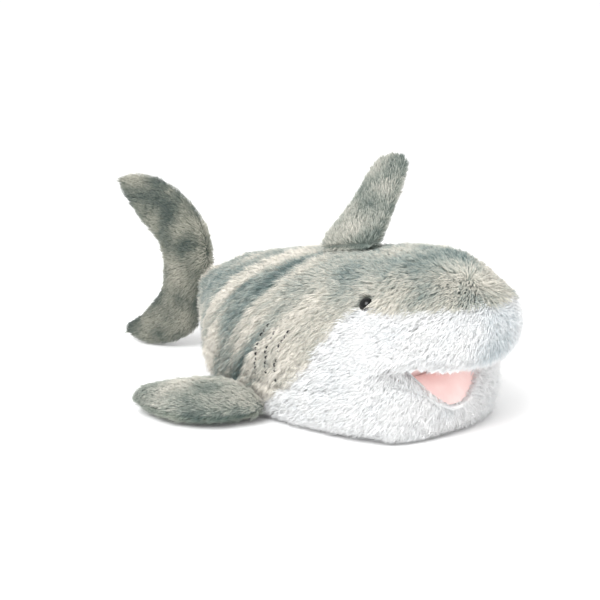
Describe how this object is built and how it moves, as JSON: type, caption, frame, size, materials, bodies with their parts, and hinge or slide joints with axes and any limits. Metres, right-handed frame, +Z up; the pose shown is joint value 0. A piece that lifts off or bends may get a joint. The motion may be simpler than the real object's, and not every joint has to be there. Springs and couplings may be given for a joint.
{
  "type": "plush shark",
  "caption": "Long plush shark lying on its belly: fur panels over fibre filling, with soft side fins, a leaning back fin, a bent tail and an open mouth with felt teeth.",
  "frame": {"origin": "on the floor, under the middle of the length, on the body's middle plane", "axes": "+Z up, the nose points along -Y, the shark's left side is at +X"},
  "size_m": [0.291, 0.4052, 0.1829],
  "materials": {
    "grey_plush": "long-pile mottled plush",
    "white_plush": "long-pile plush",
    "pink_velour": "smooth short velour",
    "white_felt": "thin felt",
    "black_thread": "embroidery thread",
    "fibre_filling": "loose polyester fibre",
    "black_eye": "polished",
    "washer_plastic": "moulded"
  },
  "bodies": {
    "body": {"back_panel_left": "grey_plush", "back_panel_right": "grey_plush", "belly_panel": "white_plush", "muzzle_panel_left": "white_plush", "muzzle_panel_right": "white_plush", "muzzle_front_panel": "white_plush", "palate_lining": "pink_velour", "upper_teeth": "white_felt", "head_filling": "fibre_filling", "body_filling": "fibre_filling", "eye_left": "black_eye", "eye_right": "black_eye", "eye_washer_left": "washer_plastic", "eye_washer_right": "washer_plastic", "gill_stitches_left_1": "black_thread", "gill_stitches_left_2": "black_thread", "gill_stitches_left_3": "black_thread", "gill_stitches_right_1": "black_thread", "gill_stitches_right_2": "black_thread", "gill_stitches_right_3": "black_thread"},
    "jaw": {"chin_panel": "white_plush", "chin_front_panel": "white_plush", "jaw_lining": "pink_velour", "jaw_filling": "fibre_filling", "lower_teeth": "white_felt"},
    "pectoral_right": {"pectoral_right_top": "grey_plush", "pectoral_right_bottom": "grey_plush", "pectoral_right_filling": "fibre_filling"},
    "pectoral_left": {"pectoral_left_top": "grey_plush", "pectoral_left_bottom": "grey_plush", "pectoral_left_filling": "fibre_filling"},
    "dorsal_fin": {"dorsal_right": "grey_plush", "dorsal_left": "grey_plush", "dorsal_filling": "fibre_filling"},
    "tail": {"tail_stock_panel_left": "grey_plush", "tail_stock_panel_right": "grey_plush", "tail_stock_filling": "fibre_filling", "tail_fin_left": "grey_plush", "tail_fin_right": "grey_plush", "tail_fin_filling": "fibre_filling"}
  },
  "joints": [
    {"name": "jaw_open", "type": "hinge", "parent": "body", "child": "jaw", "pos_m": [0, -0.13367, 0.05], "axis": [1, 0, 0], "range_deg": [-12, 8], "stiffness_Nm_per_rad": 0.06},
    {"name": "pectoral_left_flap", "type": "hinge", "parent": "body", "child": "pectoral_left", "pos_m": [0.0945, -0.00567, 0.0125], "axis": [0, -1, 0], "range_deg": [-15, 35], "stiffness_Nm_per_rad": 0.03},
    {"name": "pectoral_right_flap", "type": "hinge", "parent": "body", "child": "pectoral_right", "pos_m": [-0.0945, -0.00567, 0.0125], "axis": [0, 1, 0], "range_deg": [-15, 35], "stiffness_Nm_per_rad": 0.03},
    {"name": "dorsal_lean", "type": "hinge", "parent": "body", "child": "dorsal_fin", "pos_m": [0, -0.04567, 0.1302], "axis": [0, 0.9801, -0.1985], "range_deg": [-58, 12], "stiffness_Nm_per_rad": 0.03},
    {"name": "tail_sway", "type": "hinge", "parent": "body", "child": "tail", "pos_m": [0, 0.10933, 0.045], "axis": [0, 0, -1], "range_deg": [-12, 40], "stiffness_Nm_per_rad": 0.06}
  ]
}
